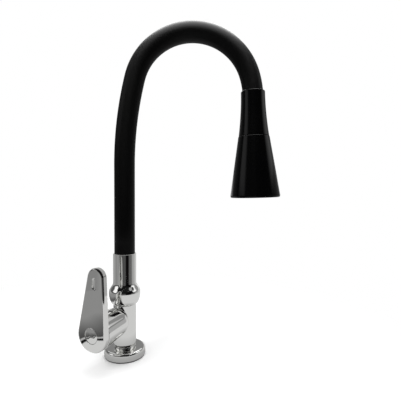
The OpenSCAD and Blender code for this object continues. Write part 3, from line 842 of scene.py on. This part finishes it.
def make_collar():
    foot_r, cup_bore_r, neck_bore_r = COLUMN_R + 0.05, SLEEVE_R + 0.1, NECK_R + 0.6
    lower = [(foot_r + (BULGE_R - foot_r) * math.sin(a),
              BULGE_Z - (BULGE_Z - COLLAR_LOW) * math.cos(a))
             for a in (math.radians(5 * k) for k in range(1, 19))]
    upper = [(CUP_R + (BULGE_R - CUP_R) * (1 + math.cos(math.pi * k / 24)) / 2,
              BULGE_Z + (TAPER_TOP - BULGE_Z) * k / 24) for k in range(1, 25)]
    turn_piece("collar", "riser", "polished_chrome", "swivel_collar", [
        (neck_bore_r, COLLAR_LOW), (foot_r - 0.2, COLLAR_LOW), (foot_r, COLLAR_LOW + 0.15)]
        + lower + upper + [
        (CUP_R, CUP_LOW), (CUP_R, CUP_TOP, 0.6), (cup_bore_r, CUP_TOP, 0.4),
        (cup_bore_r, WEB_HIGH, 0.3), (WEB_R, WEB_HIGH), (WEB_R, WEB_LOW),
        (neck_bore_r, WEB_LOW)])


# ---- hose ----------------------------------------------------------------------------------


def make_hose():
    """Each layer is two lengths. They meet on the stiff neck."""

    def strip_wound(length):
        return GOOSENECK_R - WINDING_CUT * (1 - abs(math.sin(math.pi * length / WINDING)))

    # name, finish, outside by length, bore, low end, distance between rings, segments
    layers = (
        ("sleeve", "black_silicone", lambda length: SLEEVE_R, SLEEVE_BORE_R, SLEEVE_LOW, 2.4, 64),
        ("gooseneck", "stainless_steel", strip_wound, GOOSENECK_BORE_R, COIL_LOW, 0.6, 24),
        ("tube", "white_plastic", lambda length: TUBE_R, TUBE_BORE_R, COIL_LOW, 4.0, 24),
    )
    spans = (
        ("riser", "arch", RISER_BEND, ("riser", "arch")),
        ("arch", "front", ARCH_BEND, ("front",)),
    )
    for layer, slot, outer_r, inner_r, low, pitch, segments in layers:
        for body, after, bend, lengths in spans:
            first, last = CUT_AT, HOSE_LENGTH
            if body == "riser":
                first, last = low - RISER_TOP, CUT_AT
            steps = round((last - first) / pitch)
            outside, inside = [], []
            for k in range(steps + 1):
                length = first + (last - first) * k / steps
                middle, heading = hose_at(length)
                across = Vector((math.cos(heading), 0, -math.sin(heading)))
                for rings, r in ((outside, outer_r(length)), (inside, inner_r)):
                    rings.append([
                        middle + across * r * math.cos(TURN * i / segments)
                        + Vector((0, r * math.sin(TURN * i / segments), 0))
                        for i in range(segments)])
            bm = bmesh.new()
            skin(bm, outside + inside[::-1], closed=True)
            made = finish_piece(f"{layer}_{body}", bm, slot, *[f"{n}_{layer}" for n in lengths])
            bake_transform(made)


# ---- spray head ----------------------------------------------------------------------------


def upper_r(s):
    return RIM_R + (SEAM_R - RIM_R) * ((s - RIM_S) / (SEAM_S - RIM_S)) ** 1.9


def cone_r(s):
    return CONE_TOP_R + (FACE_R - CONE_TOP_R) * (s - CONE_S) / (EDGE_S - CONE_S)


def make_upper_shell():
    outer = [(upper_r(s), s) for s in (RIM_S + (SEAM_S - RIM_S) * k / 36 for k in range(2, 36))]
    inner = [(upper_r(s) - SHELL_T, s) for s in (SEAM_S - 3 * k for k in range(8))]
    turn_piece("upper_shell", "front", "gloss_black", "head_collar", [
        (RIM_BORE_R, RIM_S, 0.3), (upper_r(RIM_S), RIM_S, 0.7)] + outer
        + [(SEAM_R, SEAM_S, 0.3)] + inner + [
        (SHELL_FLOOR_R, SHELL_FLOOR), (CORE_BORE_R, SHELL_FLOOR), (CORE_BORE_R, CORE_BORE_S),
        (THREAD_BORE_R, CORE_BORE_S), (THREAD_BORE_R, 0), (RIM_BORE_R, 0)], on_head)


def make_cone():
    edge = [(FACE_R - FACE_ROUND + FACE_ROUND * math.cos(a), EDGE_S + 2 * FACE_ROUND * math.sin(a))
            for a in (math.radians(10 * k) for k in range(10))]
    side = [(cone_r(s), s) for s in (50, 60, 70, 80, 90, 100, 110, 113.8)]
    turn_piece("cone", "cone", "gloss_black", "cone_shell", [
        (CLIP_BORE_R, CONE_S), (CONE_TOP_R, CONE_S, 0.35)] + side + edge + [
        (PLATE_R + FIT, FACE_S, 0.3), (PLATE_R + FIT, PLATE_BACK),
        (cone_r(PLATE_BACK) - CONE_T_FACE, PLATE_BACK), (cone_r(CONE_FLOOR) - CONE_T, CONE_FLOOR),
        (CONE_BORE_R, CONE_FLOOR), (CONE_BORE_R, CLIP_BORE_S), (CLIP_BORE_R, CLIP_BORE_S)],
        on_head)


def make_nozzles():
    """Soft nozzles in two rings, each with a rounded tip."""
    bm = bmesh.new()
    nozzle = rounded([
        (NOZZLE_BORE_R, PLATE_BACK), (NOZZLE_R, PLATE_BACK), (NOZZLE_R, PLATE_FRONT + 0.2, 0.2),
        (NOZZLE_TIP_R, NOZZLE_S, 0.25), (NOZZLE_BORE_R, NOZZLE_S, 0.15)], True)
    for count, ring_r in NOZZLE_RINGS:
        for i in range(count):
            spot = Matrix.Rotation(TURN * (i + 1) / count, 4, "Z") \
                @ Matrix.Translation((ring_r, 0, 0))
            skin(bm, [circle(r, s, 14) for r, s in nozzle], on_head @ spot, True)
    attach(finish_piece("nozzles", bm, "black_rubber", "spray_nozzles"), "cone")


def make_aerator():
    turn_piece("aerator_rim", "cone", "stainless_steel", "aerator_housing", [
        (AERATOR_BORE_R, AERATOR_SEAT_S), (AERATOR_BORE_R, EDGE_S, 0.6),
        (AERATOR_R, EDGE_S, 0.7), (AERATOR_R, AERATOR_S, 0.2), (AERATOR_SEAT_R, AERATOR_S),
        (AERATOR_SEAT_R, AERATOR_SEAT_S)], on_head, segments=64)


def make_gauze():
    """The aerator's woven wire, one layer over the other."""
    bm = bmesh.new()
    wire, rise, pitch, s = 0.22, 0.2, 1.0, PLATE_FRONT - 1.1
    steps = 52
    for turn in (0, 1):
        for n in range(-6, 7):
            reach = math.sqrt((AERATOR_BORE_R - 0.1) ** 2 - (n * pitch) ** 2)
            rings = []
            for k in range(steps + 1):
                x = -reach + 2 * reach * k / steps
                weave = rise * math.cos(math.pi * (x / pitch + n + turn))
                rings.append([(x, n * pitch + wire * math.cos(TURN * i / 6),
                               s + weave + wire * math.sin(TURN * i / 6)) for i in range(6)])
            rows = skin(bm, rings, on_head @ Matrix.Rotation(turn * math.pi / 2, 4, "Z"))
            bm.faces.new(rows[0])
            bm.faces.new(rows[-1])
    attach(finish_piece("gauze", bm, "stainless_steel", "aerator_mesh"), "cone")


# ---- studio --------------------------------------------------------------------------------


def lamp(name, spot, size, power):
    """A square lamp that reflections don't show."""
    light = bpy.data.lights.new(name, "AREA")
    light.size = size
    light.energy = power
    made = new_object(name, light)
    aim = (LAMP_AIM - Vector(spot)).to_track_quat("-Z", "Y")
    made.matrix_world = Matrix.Translation(spot) @ aim.to_matrix().to_4x4()
    made.visible_glossy = False


def new_card(name, bm):
    """Makes an object of the studio with an empty material, and returns it and the node tree."""
    mesh = bpy.data.meshes.new(name)
    bm.to_mesh(mesh)
    bm.free()
    paint = bpy.data.materials.new(name)
    paint.use_nodes = True
    paint.node_tree.nodes.clear()
    mesh.materials.append(paint)
    return new_object(name, mesh), paint.node_tree


def show_in_reflections(name, bm):
    """Makes the object of a glowing card that only reflections see, in its vertices' tones."""
    made, tree = new_card(name, bm)
    tone = add(tree, "Attribute", attribute_name="tone")
    glow = add(tree, "Emission", {"Color": tone.outputs["Color"]})
    add(tree, "OutputMaterial", {0: glow.outputs[0]})
    for ray in ("camera", "diffuse", "transmission", "volume_scatter", "shadow"):
        setattr(made, "visible_" + ray, False)


def wall(name, distance, heights, stops):
    """A curved standing card. A stop is (bearing in degrees, grey or colour), and the tone runs
    evenly from one to the next. Bearing 0 is in front of the tap, and bearings grow to its
    right."""
    bm = bmesh.new()
    tones = bm.verts.layers.float_color.new("tone")
    stops = [(at, Vector(tone if isinstance(tone, tuple) else (tone,) * 3)) for at, tone in stops]
    rows = []
    for (start, one), (stop, other) in zip(stops, stops[1:]):
        steps = max(1, round((stop - start) / WALL_STEP))
        for i in range(1 if rows else 0, steps + 1):
            way = math.radians(start + (stop - start) * i / steps)
            pair = [bm.verts.new((distance * math.sin(way), -distance * math.cos(way), height))
                    for height in heights]
            for corner in pair:
                corner[tones] = (*one.lerp(other, i / steps), 1)
            rows.append(pair)
    for one, other in zip(rows, rows[1:]):
        bm.faces.new([one[0], other[0], other[1], one[1]])
    show_in_reflections(name, bm)


def canopy(name, height, x, y, near, far):
    """A level card over the tap, between two places along X and two along Y. Its grey at the
    first Y is near, and at the second far."""
    bm = bmesh.new()
    tones = bm.verts.layers.float_color.new("tone")
    corners = []
    for place in ((x[0], y[0]), (x[1], y[0]), (x[1], y[1]), (x[0], y[1])):
        corner = bm.verts.new((*place, height))
        corner[tones] = (*(near if place[1] == y[0] else far,) * 3, 1)
        corners.append(corner)
    bm.faces.new(corners)
    show_in_reflections(name, bm)


def deck_for_eyes(tree, away):
    """A white deck with soft shadows, which fades to plain white."""
    near = scaled(tree, away, *FADE, interpolation_type="SMOOTHSTEP")
    lit = add(tree, "BsdfDiffuse", {"Color": (LIT_GREY, LIT_GREY, LIT_GREY, 1)})
    plain = add(tree, "Emission", {"Color": (1, 1, 1, 1)})
    return add(tree, "MixShader", {0: near, 1: plain.outputs[0], 2: lit.outputs[0]})


def deck_for_metal(tree, place, away):
    """A greyer deck: a board whose wavy edge, a bright strip in a black gap, lies to the left."""
    apart = add(tree, "SeparateXYZ", {0: place}).outputs
    swing = worked(tree, "SINE", worked(tree, "MULTIPLY", apart["Y"], EDGE_WAVES))
    across = worked(tree, "MULTIPLY_ADD", swing, EDGE_WAVE, apart["X"])
    # the board's level falls close to the column: a painted shadow of the tap, which metal sees in
    # reflections
    level = scaled(tree, scaled(tree, across, *BOARD_EDGE), scaled(tree, across, *GROUND),
                   scaled(tree, away, *BOARD))
    no_gap = worked(tree, "MAXIMUM", scaled(tree, across, *GAP_START),
                    scaled(tree, across, *GAP_STOP))
    strip = worked(tree, "MULTIPLY", scaled(tree, across, *STRIP_START),
                   scaled(tree, across, *STRIP_STOP))
    level = worked(tree, "MAXIMUM", worked(tree, "MULTIPLY", level, no_gap), strip)
    return add(tree, "Emission", {"Color": level})


def make_floor():
    """The deck, which the eye and metal see in their own ways, and the rest as a dull grey."""
    bm = bmesh.new()
    bmesh.ops.create_grid(bm, x_segments=8, y_segments=8, size=FLOOR_SIZE)
    floor, tree = new_card("floor", bm)
    place = add(tree, "TexCoord").outputs["Object"]
    away = add(tree, "VectorMath", {0: place}, operation="LENGTH").outputs["Value"]
    dull = add(tree, "BsdfDiffuse", {"Color": (DULL_GREY, DULL_GREY, DULL_GREY, 1)})
    rays = add(tree, "LightPath").outputs
    others = add(tree, "MixShader", {0: rays["Is Glossy Ray"], 1: dull.outputs[0],
                                     2: deck_for_metal(tree, place, away).outputs[0]})
    whole = add(tree, "MixShader", {0: rays["Is Camera Ray"], 1: others.outputs[0],
                                    2: deck_for_eyes(tree, away).outputs[0]})
    add(tree, "OutputMaterial", {0: whole.outputs[0]})


def make_sky():
    """White for the eye and for reflections, and a plain level of light for the rest."""
    world = bpy.data.worlds.new("studio")
    bpy.context.scene.world = world
    world.use_nodes = True
    tree = world.node_tree
    tree.nodes.clear()
    rays = add(tree, "LightPath").outputs
    white = worked(tree, "MAXIMUM", rays["Is Camera Ray"], rays["Is Glossy Ray"])
    white = worked(tree, "MAXIMUM", white, rays["Is Transmission Ray"])
    back = add(tree, "Background", {"Color": (1, 1, 1, 1),
                                    "Strength": scaled(tree, white, SKY_LEVEL, 1.0)})
    add(tree, "OutputWorld", {0: back.outputs[0]})


def make_lamps():
    lamp("key", (-0.9, -1.0, 1.3), 0.8, 10)
    lamp("fill", (1.2, -0.9, 0.9), 0.8, 7)
    lamp("top", (0.1, 0.1, 1.5), 0.7, 5)


def make_low_walls():
    """Low walls close to the tap, about as high as the collar, and a taller black flag."""
    wall("front_low", LOW_WALL, (0, 0.06), [
        (-60, 0.34), (-50, 0.3), (-42, 0.16), (-24, 0.11), (-16, 0.075), (18, 0.085), (22, 0.03),
        (28, 0.003), (44, 0.003), (52, 0.04), (60, 0.14), (72, 0.13)])
    wall("front_high", LOW_WALL, (0.06, 0.11), [
        (-60, 0.34), (-50, 0.26), (-40, 0.14), (-22, (0.1, 0.085, 0.075)),
        (-5, (0.12, 0.1, 0.09)), (2, 0.16), (18, 0.16), (22, 0.03), (28, 0.002), (52, 0.002),
        (60, 0.12), (72, 0.13)])
    wall("black_flag", FLAG, (0.11, 0.4), [(22, 0.002), (66, 0.002)])
    wall("left_low", LOW_WALL, (0, 0.12), [
        (-155, 0.36), (-100, 0.38), (-92, 0.3), (-64, 0.25), (-62, 0.34), (-60, 0.34)])
    wall("right_low", RIGHT_WALL, (0, 0.13), [
        (72, 0.13), (85, 0.2), (96, 0.42), (120, 0.42), (132, 0.62), (155, 0.62)])


def make_room():
    """The dark room behind the low walls, with its soft boxes."""
    wall("room", ROOM, (0, ROOF), [
        (-140, 0.2), (-110, 0.1), (-60, 0.05), (-30, 0.04), (12, 0.05), (20, 0.01), (70, 0.01),
        (80, 0.05), (110, 0.25), (140, 0.3)])
    wall("left_softbox", SOFTBOX, (0.47, 1.15), [(-92, 0.6), (-84, 1.1), (-62, 1.1), (-54, 0.5)])
    wall("right_softbox", SOFTBOX, (0.47, 1.1), [(78, 0.5), (90, 1.1), (108, 1.1), (118, 0.4)])
    wall("rear_wall", SOFTBOX, (0.3, 0.85), [(140, 0.24), (220, 0.24)])


def make_canopies():
    """Soft boxes over the arch between dim canopies, and a low ceiling that hides them from the
    base."""
    canopy("front_canopy", ROOF, ROOF_X, (-1.2, 0.1), 5.0, 7.5)
    canopy("rear_softbox", ROOF, ROOF_X, (0.1, 1.0), 7.5, 7.5)
    canopy("left_canopy", ROOF, (-1.3, ROOF_X[0]), (-1.2, 1.2), 0.4, 0.4)
    canopy("right_canopy", ROOF, (ROOF_X[1], 1.3), (-1.2, 1.2), 0.4, 0.4)
    canopy("dark_ceiling", HOOD, HOOD_X, (-0.15, -0.04), 0.004, 0.01)
    canopy("ceiling", HOOD, HOOD_X, (-0.04, 0.13), 0.38, 0.9)


# ---- making --------------------------------------------------------------------------------

set_camera()
finishes = make_finishes()
for part in frame["record"]["subparts"]:
    cad = frame["nodes"][part["node"]]
    if not cad.material_slots:
        cad.data.materials.append(None)
    for place in cad.material_slots:
        place.link = "OBJECT"
        place.material = finishes[part["material_slot"]]
make_flange()
make_gasket()
make_shank()
make_washers()
make_nut()
make_casting()
make_lever()
make_cap()
make_collar()
make_hose()
make_upper_shell()
make_cone()
make_nozzles()
make_aerator()
make_gauze()
make_sky()
make_floor()
make_lamps()
make_low_walls()
make_room()
make_canopies()
